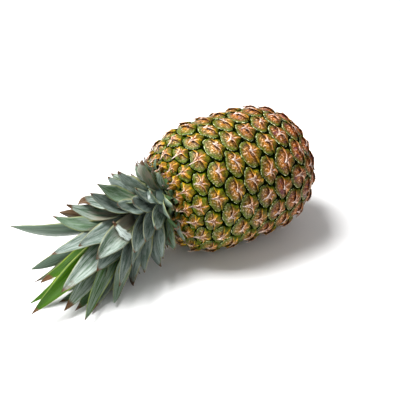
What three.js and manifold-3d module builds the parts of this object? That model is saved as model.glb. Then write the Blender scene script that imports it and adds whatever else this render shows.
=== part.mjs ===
// A pineapple lying on its side: the fruit with its raised eyes and spiny bracts, the leafy crown, the young
// leaves at the crown's heart, and the cut stalk.
// Millimetres, +Z up. The fruit's own axis runs along X, with the crown towards -X and the cut stalk towards +X.
// The origin is the middle of the flat eye, nearest under its weight, on which the fruit rests.
import * as THREE from "three";
import { mergeVertices } from "three/addons/utils/BufferGeometryUtils.js";
import Module from "manifold-3d";

const wasm = await Module();
wasm.setup();

const DEGREE = Math.PI / 180;
const GAP = 0.35; // clear space between touching pieces
const SLIVER = 0.06; // faces that stray less than this are merged

// The fruit is a barrel: a superellipse turned about X.
const FRUIT_RADIUS = 60;
const FRUIT_LENGTH = 157;
const LENGTH_POWER = 3.8; // higher is more square along the axis
const WALK_STEPS = 2000; // steps in which its outline is measured
const SPACE_STEP = 80;
const RADIUS_POWER = 2.06;
const REST_CUT = 1.1; // how far the lowest eyes are pressed flat
const REST_EYE = 59; // the eye under the fruit's weight
const EYE_RISE = 1.5; // top of an eye's dome above the barrel
const AXIS_HEIGHT = FRUIT_RADIUS + EYE_RISE - REST_CUT;

// The eyes follow one spiral: 7, 11 and 18 rows of neighbours wind round the fruit.
const SPIRAL_TURN = 99.789 * DEGREE;
const NEIGHBOUR_W = 7;
const NEIGHBOUR_U = 11;
const NEIGHBOUR_V = 18;
const ROW_PITCH = 19.1; // along the surface, from an eye to its neighbour V, at the widest place
const CROWN_PITCH_POWER = 1.3; // how fast the rows close up as the fruit narrows
const STALK_PITCH_POWER = 0.85;
const FIRST_EYE_X = -56.4; // where eye 0 lies
const FIRST_EYE_ANGLE = 50.8 * DEGREE; // from straight up, towards -Y
const CROWN_EDGE_RADIUS = 31; // the eyes stop here, under the crown
const STALK_EDGE_RADIUS = 20;
const EDGE_EASE = 7; // the last eyes flatten out over this much

// One eye, as shares of its cell and heights above the barrel.
const GROOVE_DEPTH = 1.5;
const RIM_SHARE = 0.8;
const RIM_RISE = 1.0;
const FACE_SHARE = 0.42;
const BRACT_TILT = 0.9; // the side towards the stalk is the bract and stands higher
const TIP_RISE = 3.8;
const TIP_LEAN = 0.34; // the bract's tip leans this share of a row towards the crown

// The crown's stem leaves the fruit's end and bends down towards the surface that the fruit lies on.
const STEM_START = new THREE.Vector3(-74, 0, AXIS_HEIGHT - 1);
const STEM_LENGTH = 62;
const STEM_DROOP = [11 * DEGREE, 32 * DEGREE]; // below level, at its foot and at its end
const STEM_SWING = [0, 12 * DEGREE]; // towards -Y
const STEM_RADIUS = [[0, 20], [0.45, 12.5], [0.85, 7], [1, 4]];
const STEM_SIDES = 10;
const CROWN_STEM = [-6, 48]; // the length of the stem that belongs to the crown's outer leaves
const HEART_STEM = [48.5, 62];

// The leaves follow one spiral round the stem, from its foot to its end.
const LEAF_COUNT = 70;
const HEART_FIRST = 60; // the leaves from this one on are the young ones
const LEAF_TURN = 99.789 * DEGREE;
const FIRST_LEAF_ANGLE = 20 * DEGREE;
const LEAF_THICKNESS = 1.2;
const LEAF_STATIONS = 4; // stretches along a blade
const SIMPLE_STATIONS = 3; // on the short leaves at the foot and the nearly straight young ones
const SHORT_LEAF = 46;
const FLOOR_CLEAR = 0.4;
const FLOOR_EASE = 14; // a leaf begins to level out at this height

// Leaf sizes and angles to the stem, from the crown's foot (0) to its heart (1).
const LEAF_BASE = [[0, -1], [1, 58]];
const LEAF_ROOT = [[0, 18], [0.5, 12], [1, 3.5]];
const LEAF_LENGTH = [[0, 28], [0.3, 42], [0.6, 60], [0.8, 74], [1, 88]];
const LEAF_WIDTH = [[0, 16], [0.3, 19], [0.7, 21], [1, 19]];
const LEAF_START_ANGLE = [[0, 56], [0.3, 44], [0.6, 30], [1, 8]];
const LEAF_END_ANGLE = [[0, 106], [0.3, 84], [0.6, 62], [1, 18]];

// How single leaves differ from the rule: degrees of turn, times the length, degrees at the root and at the tip.
const LEAF_CHANGES = {
  3: [0, 0.82, 0, 0],
  5: [12, 1.05, -5, 0],
  7: [0, 1.1, 0, 20],
  8: [-30, 0.95, 0, -5],
  10: [0, 1.1, -10, -10],
  12: [-12, 0.85, 0, 5],
  14: [0, 0.88, -5, -5],
  15: [-5, 1, -12, -10],
  18: [8, 0.9, 0, 8],
  19: [0, 0.94, -8, -6],
  21: [5, 0.8, 0, 5],
  22: [-20, 1, -3, 5],
  23: [0, 0.97, 0, 6],
  25: [0, 1.05, -5, -5],
  26: [-18, 0.85, -8, -5],
  28: [-5, 0.85, -5, -8],
  29: [-6, 0.93, 0, 5],
  30: [0, 0.88, -14, -10],
  32: [6, 1, -10, -8],
  33: [0, 0.97, -4, -3],
  34: [0, 0.9, 0, 0],
  36: [-10, 0.95, 5, 15],
  37: [-15, 0.8, -15, -10],
  39: [0, 1.03, -8, -10],
  40: [0, 1.3, -5, -5],
  41: [0, 0.88, -5, -3],
  43: [-5, 0.95, 0, 12],
  44: [0, 1.02, -7, -4],
  46: [0, 0.74, 0, -8],
  48: [0, 1.02, -9, -7],
  50: [0, 0.92, -8, 28],
  51: [-6, 0.8, -8, -5],
  53: [34, 1.38, 6, 20],
  55: [0, 0.65, -14, -10],
  57: [0, 1.1, -8, -7],
  58: [-3, 1.1, 0, 0],
  61: [0, 1, -10, -7],
  62: [0, 1.05, 0, 8],
  65: [0, 1.2, 0, -5],
  66: [0, 0.88, -6, -3],
  68: [0, 1.05, -6, -5],
  69: [0, 0.88, 0, 0],
};

// Degrees that single blades turn about their own length, reached at TWIST_SHARE of it.
const LEAF_TWISTS = {
  3: -35, 7: -30, 10: -30, 12: 30, 14: -40, 19: 30, 21: -40, 23: 30, 25: 40, 28: -25, 30: 35, 32: 40,
  36: 35, 39: -40, 41: 35, 43: 40, 46: -25, 48: -40, 50: 45, 53: -30, 57: -45, 61: 25, 66: -35, 68: 40,
};
const TWIST_SHARE = 0.6;
const TAPER_POWER = 4.6; // a blade stays broad until late

const STALK_RADIUS = 13.5;
const STALK_STUB = 9;
const STALK_SUNK = 5;

/** The value at a place on a line through [place, value] points. */
function along(points, place) {
  const last = points.length - 1;
  let i = 0;
  while (i < last - 1 && place > points[i + 1][0]) i += 1;
  const share = (place - points[i][0]) / (points[i + 1][0] - points[i][0]);
  return points[i][1] + (points[i + 1][1] - points[i][1]) * share;
}

/** A manifold-3d solid from a closed geometry. */
function solidFrom(geometry) {
  const bare = geometry.clone();
  bare.deleteAttribute("normal");
  bare.deleteAttribute("uv");
  const merged = mergeVertices(bare, 1e-4);
  return new wasm.Manifold(
    new wasm.Mesh({
      numProp: 3,
      vertProperties: merged.attributes.position.array,
      triVerts: new Uint32Array(merged.index.array),
    }),
  );
}

/** A three.js geometry from a manifold-3d solid. */
function geometryFrom(solid) {
  const mesh = solid.getMesh();
  const geometry = new THREE.BufferGeometry();
  geometry.setAttribute("position", new THREE.BufferAttribute(mesh.vertProperties, 3));
  geometry.setIndex(new THREE.BufferAttribute(mesh.triVerts, 1));
  geometry.computeVertexNormals();
  return geometry;
}

/** A geometry from a list of points and a list of triangles. */
function geometryOf(points, triangles) {
  const geometry = new THREE.BufferGeometry();
  geometry.setAttribute("position", new THREE.Float32BufferAttribute(points.flatMap((p) => [p.x, p.y, p.z]), 3));
  geometry.setIndex(triangles.flat());
  return geometry;
}

/** A solid turned about X from [x, radius] points that start and end on the axis, in order of falling x. */
function turnedAboutX(outline, sides) {
  const profile = outline.map(([x, radius]) => new THREE.Vector2(radius, -x));
  return new THREE.LatheGeometry(profile, sides).rotateZ(Math.PI / 2);
}

/** The barrel's radius at x. */
function barrelRadius(x) {
  const share = Math.min(1, Math.abs(x) / (FRUIT_LENGTH / 2));
  return FRUIT_RADIUS * (1 - share ** LENGTH_POWER) ** (1 / RADIUS_POWER);
}

/** Walks the barrel's outline from end to end and notes x, radius and row number at each step. */
function barrelWalk() {
  const places = [];
  let row = 0;
  let before = null;
  for (let i = 0; i <= WALK_STEPS; i += 1) {
    const angle = -Math.PI / 2 + (Math.PI * i) / WALK_STEPS;
    const reach = Math.abs(Math.sin(angle)) ** (2 / LENGTH_POWER);
    const x = (Math.sign(angle) * reach * FRUIT_LENGTH) / 2;
    const radius = barrelRadius(x);
    if (before) {
      const step = Math.hypot(x - before.x, radius - before.radius);
      const width = (radius + before.radius) / 2 / FRUIT_RADIUS;
      const power = x < 0 ? CROWN_PITCH_POWER : STALK_PITCH_POWER;
      row += step / (ROW_PITCH * Math.max(width, 0.05) ** power);
    }
    before = { x, radius, row };
    places.push(before);
  }
  const start = places.find((place) => place.x >= FIRST_EYE_X).row;
  for (const place of places) place.row -= start;
  return places;
}

const WALK = barrelWalk();

/** The barrel's x, radius and outward direction at a row number. */
function placeAtRow(row) {
  let low = 0;
  let high = WALK.length - 1;
  while (high - low > 1) {
    const middle = (low + high) >> 1;
    if (WALK[middle].row <= row) low = middle;
    else high = middle;
  }
  const a = WALK[low];
  const b = WALK[high];
  const share = Math.min(1, Math.max(0, (row - a.row) / (b.row - a.row)));
  const length = Math.hypot(b.x - a.x, b.radius - a.radius);
  return {
    x: a.x + (b.x - a.x) * share,
    radius: a.radius + (b.radius - a.radius) * share,
    outX: -(b.radius - a.radius) / length,
    outRadius: (b.x - a.x) / length,
  };
}

/** A point at a row and an angle round the fruit, a height above the barrel. */
function fruitPoint(row, angle, height) {
  const place = placeAtRow(row);
  const radius = Math.max(0, place.radius + height * place.outRadius);
  return new THREE.Vector3(
    place.x + height * place.outX,
    -radius * Math.sin(angle),
    AXIS_HEIGHT + radius * Math.cos(angle),
  );
}

/** The angle that a number of eyes along the spiral turns, within half a turn of zero. */
function turnOf(eyes) {
  const turned = (eyes * SPIRAL_TURN) % (2 * Math.PI);
  if (turned > Math.PI) return turned - 2 * Math.PI;
  return turned < -Math.PI ? turned + 2 * Math.PI : turned;
}

const STEP_U = { row: NEIGHBOUR_U / NEIGHBOUR_V, angle: turnOf(NEIGHBOUR_U) };
const STEP_V = { row: 1, angle: turnOf(NEIGHBOUR_V) };

/** The corners of an eye's cell, in steps along U and V, each shared with two other eyes. */
const CORNERS = [
  [1 / 3, 1 / 3, "a", 0],
  [-1 / 3, 2 / 3, "b", 0],
  [-2 / 3, 1 / 3, "a", -NEIGHBOUR_U],
  [-1 / 3, -1 / 3, "b", -NEIGHBOUR_V],
  [1 / 3, -2 / 3, "a", -NEIGHBOUR_V],
  [2 / 3, -1 / 3, "b", -NEIGHBOUR_W],
];

/** The fruit's skin as one closed geometry: every eye a raised, six-sided dome with a leaning bract tip. */
function eyedBarrel() {
  const points = [];
  const triangles = [];
  const shared = new Map();
  const edges = new Map();
  const add = (point) => points.push(point) - 1;
  const face = (a, b, c) => triangles.push([a, b, c]);
  const isEye = (number) => {
    const place = placeAtRow(number / NEIGHBOUR_V);
    return place.radius > (place.x < 0 ? CROWN_EDGE_RADIUS : STALK_EDGE_RADIUS);
  };
  const reach = 20 * NEIGHBOUR_V;
  for (let number = -reach; number < reach; number += 1) {
    if (!isEye(number)) continue;
    const row = number / NEIGHBOUR_V;
    const angle = FIRST_EYE_ANGLE + number * SPIRAL_TURN;
    const local = (u, v, share, height) =>
      fruitPoint(
        row + (u * STEP_U.row + v * STEP_V.row) * share,
        angle + (u * STEP_U.angle + v * STEP_V.angle) * share,
        height,
      );
    const ring = (share, height) =>
      CORNERS.map(([u, v]) => add(local(u, v, share, height + BRACT_TILT * (u * STEP_U.row + v))));
    const border = CORNERS.map(([u, v, kind, offset]) => {
      const key = `${kind}${number + offset}`;
      if (!shared.has(key)) shared.set(key, add(local(u, v, 1, -GROOVE_DEPTH)));
      return shared.get(key);
    });
    const rim = ring(RIM_SHARE, RIM_RISE);
    const top = ring(FACE_SHARE, EYE_RISE);
    const tip = add(fruitPoint(row - TIP_LEAN, angle, TIP_RISE));
    for (let i = 0; i < CORNERS.length; i += 1) {
      const j = (i + 1) % CORNERS.length;
      for (const [outer, inner] of [[border, rim], [rim, top]]) {
        face(outer[i], outer[j], inner[j]);
        face(outer[i], inner[j], inner[i]);
      }
      face(top[i], top[j], tip);
      edges.set(`${border[i]},${border[j]}`, [border[i], border[j]]);
    }
  }
  // What is left open at the two ends closes on the axis.
  for (const end of [-1, 1]) {
    const pole = add(new THREE.Vector3((end * FRUIT_LENGTH) / 2 - end * 2, 0, AXIS_HEIGHT));
    for (const [a, b] of edges.values()) {
      if (!edges.has(`${b},${a}`) && Math.sign(points[a].x) === end) face(b, a, pole);
    }
  }
  return geometryOf(points, triangles);
}

/** The half of space above the resting plane, as a box round the fruit. */
function aboveRest() {
  const side = 3 * FRUIT_LENGTH;
  return solidFrom(new THREE.BoxGeometry(side, side, side).translate(0, 0, side / 2));
}

/** The stem's direction at a share of its length: away from the fruit, drooping more and more. */
function stemWay(share) {
  const way = ([droop, swing]) =>
    new THREE.Vector3(-Math.cos(droop) * Math.cos(swing), -Math.cos(droop) * Math.sin(swing), -Math.sin(droop));
  const foot = way([STEM_DROOP[0], STEM_SWING[0]]);
  return foot.lerp(way([STEM_DROOP[1], STEM_SWING[1]]), Math.min(1, Math.max(0, share))).normalize();
}

/** The point of the stem's middle line at a distance from its foot. */
function stemPoint(distance) {
  const point = STEM_START.clone();
  const steps = 12;
  for (let i = 0; i < steps; i += 1) {
    const middle = ((i + 0.5) * distance) / steps;
    point.addScaledVector(stemWay(middle / STEM_LENGTH), distance / steps);
  }
  return point;
}

/** The upward and the sideways direction across the stem. */
function stemFrame(way) {
  const sideways = new THREE.Vector3(0, -1, 0);
  sideways.addScaledVector(way, -sideways.dot(way)).normalize();
  return { upward: new THREE.Vector3().crossVectors(way, sideways).normalize(), sideways };
}

/** A stretch of the stem as a closed geometry, grown by a margin on every side. */
function stemGeometry([from, to], margin) {
  const rings = 5;
  const points = [];
  const triangles = [];
  for (let i = 0; i <= rings; i += 1) {
    const distance = from - margin + ((to - from + 2 * margin) * i) / rings;
    const share = Math.min(1, Math.max(0, distance / STEM_LENGTH));
    const { upward, sideways } = stemFrame(stemWay(share));
    const radius = along(STEM_RADIUS, share) + margin;
    for (let k = 0; k < STEM_SIDES; k += 1) {
      const angle = (2 * Math.PI * k) / STEM_SIDES;
      const point = stemPoint(distance).addScaledVector(upward, radius * Math.cos(angle));
      points.push(point.addScaledVector(sideways, radius * Math.sin(angle)));
    }
  }
  for (let k = 0; k < STEM_SIDES; k += 1) {
    const next = (k + 1) % STEM_SIDES;
    for (let i = 0; i < rings; i += 1) {
      const here = i * STEM_SIDES;
      triangles.push([here + k, here + STEM_SIDES + k, here + STEM_SIDES + next]);
      triangles.push([here + k, here + STEM_SIDES + next, here + next]);
    }
    if (k > 0 && next > 0) {
      triangles.push([0, k, next]);
      triangles.push([rings * STEM_SIDES, rings * STEM_SIDES + next, rings * STEM_SIDES + k]);
    }
  }
  return geometryOf(points, triangles);
}

/** The cut stalk along X, grown by a margin, as a slightly ribbed stub. */
function stalkGeometry(margin) {
  const end = FRUIT_LENGTH / 2;
  const outline = [
    [end + STALK_STUB, 0],
    [end + STALK_STUB + margin, STALK_RADIUS * 0.93 + margin],
    [end + STALK_STUB - 2, STALK_RADIUS + margin],
    [end, STALK_RADIUS * 0.9 + margin],
    [end - STALK_SUNK - margin, STALK_RADIUS * 0.98 + margin],
    [end - STALK_SUNK - margin, 0],
  ];
  const stub = turnedAboutX(outline, 24);
  return stub.translate(0, 0, AXIS_HEIGHT);
}

/**
 * One leaf blade as a closed geometry: channelled, curved away from the stem, turned about its length, tapering to
 * a point, and levelled out where it would reach the surface below. grow thickens and widens it, for the space
 * that it needs.
 */
function leafGeometry(leaf, grow = 0) {
  const side = new THREE.Vector3().crossVectors(leaf.axis, leaf.outward).normalize();
  const { stations } = leaf;
  const spine = leaf.root.clone();
  const points = [];
  const thick = LEAF_THICKNESS / 2 + grow;
  const wayAt = (share) => {
    const angle = (leaf.startAngle + (leaf.endAngle - leaf.startAngle) * share ** 0.9) * DEGREE;
    const way = leaf.axis.clone().multiplyScalar(Math.cos(angle)).addScaledVector(leaf.outward, Math.sin(angle));
    const room = (spine.z - FLOOR_CLEAR - LEAF_THICKNESS) / FLOOR_EASE;
    if (way.z < 0) way.z *= Math.min(1, Math.max(0, room));
    return way.normalize();
  };
  for (let i = 0; i <= stations; i += 1) {
    const share = i / stations;
    const way = wayAt(share);
    const turned = leaf.twist * DEGREE * Math.min(1, share / TWIST_SHARE);
    const across = side.clone().addScaledVector(way, -side.dot(way)).normalize();
    across.applyAxisAngle(way, -turned);
    const inward = new THREE.Vector3().crossVectors(across, way).normalize();
    const half = (leaf.width / 2) * leafShape(share) + grow;
    const channel = half * (0.5 - 0.2 * share);
    for (const face of [1, -1]) {
      for (const edge of [-1, 0, 1]) {
        const point = spine.clone().addScaledVector(across, edge * half);
        point.addScaledVector(inward, (edge ? channel : 0) + face * thick);
        point.z = Math.max(point.z, FLOOR_CLEAR - grow + (face * inward.z > 0 ? 2 * thick : 0));
        points.push(point);
      }
    }
    spine.addScaledVector(wayAt(share + 0.5 / stations), leaf.length / stations);
  }
  return geometryOf(points, bladeTriangles(stations));
}

/** A blade's half width at a share of its length, as a share of its widest half width. */
function leafShape(share) {
  const swell = 0.8 + 0.2 * Math.sin(Math.PI * Math.min(1, share * 1.3));
  return Math.max(0.05, swell * (1 - share ** TAPER_POWER));
}

/** The triangles of a blade with three points across on each face, split alike on both faces. */
function bladeTriangles(stations) {
  const triangles = [];
  const around = [0, 1, 2, 5, 4, 3];
  const quad = (a, b, c, d) => triangles.push([a, b, c], [a, c, d]);
  for (let i = 0; i < stations; i += 1) {
    const here = i * 6;
    const next = here + 6;
    for (const column of [0, 1]) {
      quad(here + column, here + column + 1, next + column + 1, next + column);
      triangles.push([here + column + 3, next + column + 4, here + column + 4]);
      triangles.push([here + column + 3, next + column + 3, next + column + 4]);
    }
    quad(here + 3, here, next, next + 3);
    quad(here + 2, here + 5, next + 5, next + 2);
  }
  const last = stations * 6;
  quad(around[0], around[5], around[4], around[1]);
  quad(around[1], around[4], around[3], around[2]);
  quad(last, last + 1, last + 4, last + 3);
  quad(last + 1, last + 2, last + 5, last + 4);
  return triangles;
}

/** The leaves of the whole crown, from its foot to its heart. */
function crownLeaves() {
  return Array.from({ length: LEAF_COUNT }, (_, number) => {
    const share = number / (LEAF_COUNT - 1);
    const [turned, longer, atRoot, atTip] = LEAF_CHANGES[number] ?? [0, 1, 0, 0];
    const angle = FIRST_LEAF_ANGLE + number * LEAF_TURN + turned * DEGREE;
    const axis = stemWay(share);
    const { upward, sideways } = stemFrame(axis);
    const outward = upward.multiplyScalar(Math.cos(angle)).addScaledVector(sideways, Math.sin(angle));
    const length = along(LEAF_LENGTH, share) * longer;
    return {
      axis,
      outward,
      root: stemPoint(along(LEAF_BASE, share)).addScaledVector(outward, along(LEAF_ROOT, share)),
      length,
      stations: length < SHORT_LEAF || number >= HEART_FIRST ? SIMPLE_STATIONS : LEAF_STATIONS,
      width: along(LEAF_WIDTH, share),
      twist: LEAF_TWISTS[number] ?? 0,
      startAngle: along(LEAF_START_ANGLE, share) + atRoot,
      endAngle: along(LEAF_END_ANGLE, share) + atTip,
    };
  });
}

/** All solids joined as one. */
function joined(solids) {
  return wasm.Manifold.union(solids);
}

/** The largest of a solid's pieces, without slivers, so that what a cut leaves loose is dropped. */
function wholeOf(solid) {
  const pieces = solid.simplify(SLIVER).decompose();
  return pieces.reduce((largest, piece) => (piece.volume() > largest.volume() ? piece : largest));
}

/** The space that the fruit takes with its bracts, which the crown keeps clear of. */
function fruitSpace() {
  const outline = [];
  const last = WALK.length - 1;
  for (let i = last; i >= 0; i -= SPACE_STEP) {
    const { radius, row } = WALK[i];
    const { x, outX, outRadius } = placeAtRow(row);
    const bare = (CROWN_EDGE_RADIUS - radius) / EDGE_EASE;
    const grown = GAP + (TIP_RISE + GAP) * Math.min(1, Math.max(0, 1 - bare));
    outline.push([x + outX * grown, i % last ? radius + outRadius * grown : 0]);
  }
  return solidFrom(turnedAboutX(outline, 40).translate(0, 0, AXIS_HEIGHT));
}

/** A mesh with a name and a plain coloured material. */
function named(name, solid, colour, roughness) {
  const material = new THREE.MeshStandardMaterial({ color: colour, roughness, metalness: 0 });
  const mesh = new THREE.Mesh(geometryFrom(solid), material);
  mesh.name = name;
  return mesh;
}

const stemSocket = solidFrom(stemGeometry(CROWN_STEM, GAP));
const stalk = solidFrom(stalkGeometry(0));
const fruit = solidFrom(eyedBarrel())
  .intersect(aboveRest())
  .subtract(stemSocket)
  .subtract(solidFrom(stalkGeometry(GAP)));

const leaves = crownLeaves();
const young = leaves.slice(HEART_FIRST);
const heart = wholeOf(
  joined([...young.map((leaf) => solidFrom(leafGeometry(leaf))), solidFrom(stemGeometry(HEART_STEM, 0))]),
);
const heartSpace = joined(young.map((leaf) => solidFrom(leafGeometry(leaf, GAP))));
const outer = leaves.slice(0, HEART_FIRST).map((leaf) => solidFrom(leafGeometry(leaf)));
const crown = wholeOf(
  joined([...outer, solidFrom(stemGeometry(CROWN_STEM, 0))])
    .subtract(heartSpace)
    .subtract(solidFrom(stemGeometry(HEART_STEM, GAP)))
    .subtract(fruitSpace().subtract(stemSocket)),
);

const restPoint = fruitPoint(REST_EYE / NEIGHBOUR_V, FIRST_EYE_ANGLE + REST_EYE * SPIRAL_TURN, 0);
const pineapple = new THREE.Group();
pineapple.position.set(-restPoint.x, -restPoint.y, 0);
pineapple.add(named("fruit", fruit, 0x9c8432, 0.6));
pineapple.add(named("crown", crown, 0x5f7d66, 0.55));
pineapple.add(named("crown_heart", heart, 0x6f9a34, 0.5));
pineapple.add(named("stalk", stalk, 0xb59a68, 0.85));

export default pineapple;
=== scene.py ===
"""A pineapple lying on its side: rind with its eyes and bracts, crown, heart leaves and cut stalk.

The rind and the leaves follow the same spiral rules as the solids that they replace. Shapes are worked out
in millimetres in the row frame, with the fruit's axis along X, and turned to metres when a mesh is written.
"""

import logging
import math
from collections.abc import Callable, Iterator
from contextlib import contextmanager
from dataclasses import dataclass, field
from enum import Enum
from functools import partial, reduce

import bpy
import numpy as np
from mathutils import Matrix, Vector, noise


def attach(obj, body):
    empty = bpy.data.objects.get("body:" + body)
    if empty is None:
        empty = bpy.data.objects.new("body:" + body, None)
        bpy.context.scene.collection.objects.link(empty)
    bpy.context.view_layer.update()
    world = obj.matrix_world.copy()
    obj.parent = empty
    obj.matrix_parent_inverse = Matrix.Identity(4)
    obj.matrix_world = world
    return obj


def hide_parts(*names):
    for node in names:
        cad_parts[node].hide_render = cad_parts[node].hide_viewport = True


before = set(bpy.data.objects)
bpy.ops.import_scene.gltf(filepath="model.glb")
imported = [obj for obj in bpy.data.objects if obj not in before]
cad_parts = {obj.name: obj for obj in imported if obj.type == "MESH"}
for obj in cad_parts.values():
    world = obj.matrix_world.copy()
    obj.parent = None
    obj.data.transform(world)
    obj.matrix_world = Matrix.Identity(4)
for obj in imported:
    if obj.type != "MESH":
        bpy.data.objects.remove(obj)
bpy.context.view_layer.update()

MM = 0.001
BODY = "root"
CHANCE_SPREAD = 40
log = logging.getLogger("pineapple")

Points = np.ndarray
Table = tuple[tuple[float, float], ...]
Stops = tuple[tuple[float, str], ...]
Span = tuple[float, ...]
NodeMaker = Callable[..., bpy.types.Node]


# Small helpers for meshes


def along(table: Table, place: Points | float) -> Points:
    """The values at places on a line through (place, value) points, which are in order of place."""
    places, values = zip(*table)
    return np.interp(place, places, values)


def smooth(value: Points, low: float, high: float) -> Points:
    """A soft step from 0, where the value is low, to 1, where it is high."""
    share = np.clip((value - low) / (high - low), 0, 1)
    return share * share * (3 - 2 * share)


def unit(vectors: Points) -> Points:
    """The same directions with a length of one."""
    return vectors / np.linalg.norm(vectors, axis=-1, keepdims=True)


def waves(points: Points, size: float, seed: float = 0.0) -> Points:
    """Smooth unevenness, about -1 to 1, in waves of a size in millimetres. The seed shifts the pattern."""
    return np.array([noise.noise(Vector(p) / size + Vector((seed, 0, 0))) for p in points])


def select_only(*pieces: bpy.types.Object) -> None:
    """Selects these objects alone and makes the first one active."""
    bpy.ops.object.select_all(action="DESELECT")
    for piece in pieces:
        piece.select_set(True)
    bpy.context.view_layer.objects.active = pieces[0]


@contextmanager
def edit_mode(select: str) -> Iterator[None]:
    """Holds the active object in edit mode, with all of it selected for "SELECT" or none for "DESELECT"."""
    bpy.ops.object.mode_set(mode="EDIT")
    bpy.ops.mesh.select_all(action=select)
    yield
    bpy.ops.object.mode_set(mode="OBJECT")


def on_line(place: Points, places: Points, line: Points) -> Points:
    """The points at a place on a line whose known points, one in each row, lie at the given places."""
    return np.stack([np.interp(place, places, line[:, k]) for k in range(3)], axis=-1)


def points_of(piece: bpy.types.Object) -> Points:
    """The points of an object's mesh."""
    flat = np.empty(3 * len(piece.data.vertices))
    piece.data.vertices.foreach_get("co", flat)
    return flat.reshape(-1, 3)


def shaped_copy(
    template: bpy.types.Object, points: Points, notes: dict[str, Points | tuple[float, float, float]]
) -> bpy.types.Object:
    """A copy of a template with its own mesh, its points moved and notes written on them.

    Args:
        template: The object that is copied.
        points: The new places in millimetres, one for each point of the template.
        notes: Named attributes that the finishes read: three values for each point, or three for all.

    Returns:
        The copy.
    """
    piece = template.copy()
    piece.data = template.data.copy()
    piece.data.vertices.foreach_set("co", (points * MM).ravel())
    for label, values in notes.items():
        layer = piece.data.attributes.new(label, "FLOAT_VECTOR", "POINT")
        layer.data.foreach_set("vector", np.broadcast_to(np.asarray(values, float), points.shape).ravel())
    bpy.context.collection.objects.link(piece)
    return piece


def joined(pieces: list[bpy.types.Object], name: str, template: bpy.types.Object) -> bpy.types.Object:
    """Joins copies into one smooth piece and removes their template.

    Args:
        pieces: The copies.
        name: The name of the joined piece.
        template: The object that they were copied from.

    Returns:
        The joined piece.
    """
    select_only(*pieces)
    if len(pieces) > 1:
        bpy.ops.object.join()
    piece = bpy.context.active_object
    piece.name = name
    bpy.ops.object.shade_smooth()
    bpy.data.objects.remove(template)
    return piece


def slab(cells_across: int, cells_along: int) -> bpy.types.Object:
    """A thin closed sheet for leaves and bracts: x across, y along and z through it, each -1 to 1."""
    bpy.ops.mesh.primitive_grid_add(x_subdivisions=cells_across, y_subdivisions=cells_along, size=2)
    sheet = bpy.context.active_object
    solidify = sheet.modifiers.new("thickness", "SOLIDIFY")
    solidify.thickness = 2
    solidify.offset = 0
    bpy.ops.object.modifier_apply(modifier=solidify.name)
    return sheet


def dress(piece: bpy.types.Object, material: bpy.types.Material, slot: str, *nodes: str) -> None:
    """Gives a piece its finish and its place in the frame.

    Args:
        piece: The finished piece.
        material: Its material.
        slot: The record's material slot; not used.
        *nodes: The solids that it stands for.
    """
    piece.data.materials.clear()
    piece.data.materials.append(material)
    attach(piece, BODY)
    if nodes:
        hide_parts(*nodes)
    log.info("%s: %d faces", piece.name, len(piece.data.polygons))


# The fruit's outline and the spiral of its eyes


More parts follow.
